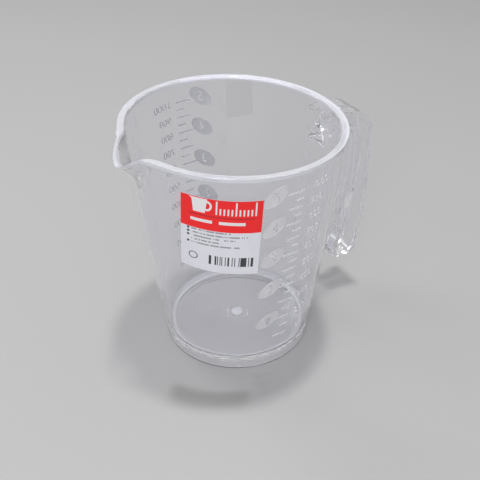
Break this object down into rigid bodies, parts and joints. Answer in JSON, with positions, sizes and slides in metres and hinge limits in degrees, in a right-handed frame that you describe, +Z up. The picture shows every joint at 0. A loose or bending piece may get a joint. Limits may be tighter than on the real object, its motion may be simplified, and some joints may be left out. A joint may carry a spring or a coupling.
{
  "type": "measuring cup",
  "caption": "Clear plastic measuring cup with a tapered bowl, raised pouring lip, relief volume scales, an I-section handle with a free lower end and a paper label.",
  "frame": {"origin": "middle of the cup's footprint box, on the table under the foot ring", "axes": "+Z up along the bowl's axis, +X from the pouring lip toward the handle, +Y across"},
  "size_m": [0.1628, 0.1258, 0.1466],
  "materials": {
    "clear_plastic": "polished",
    "label_paper": "satin"
  },
  "bodies": {
    "root": {"cup_body": "clear_plastic", "handle": "clear_plastic", "label": "label_paper"}
  },
  "joints": []
}
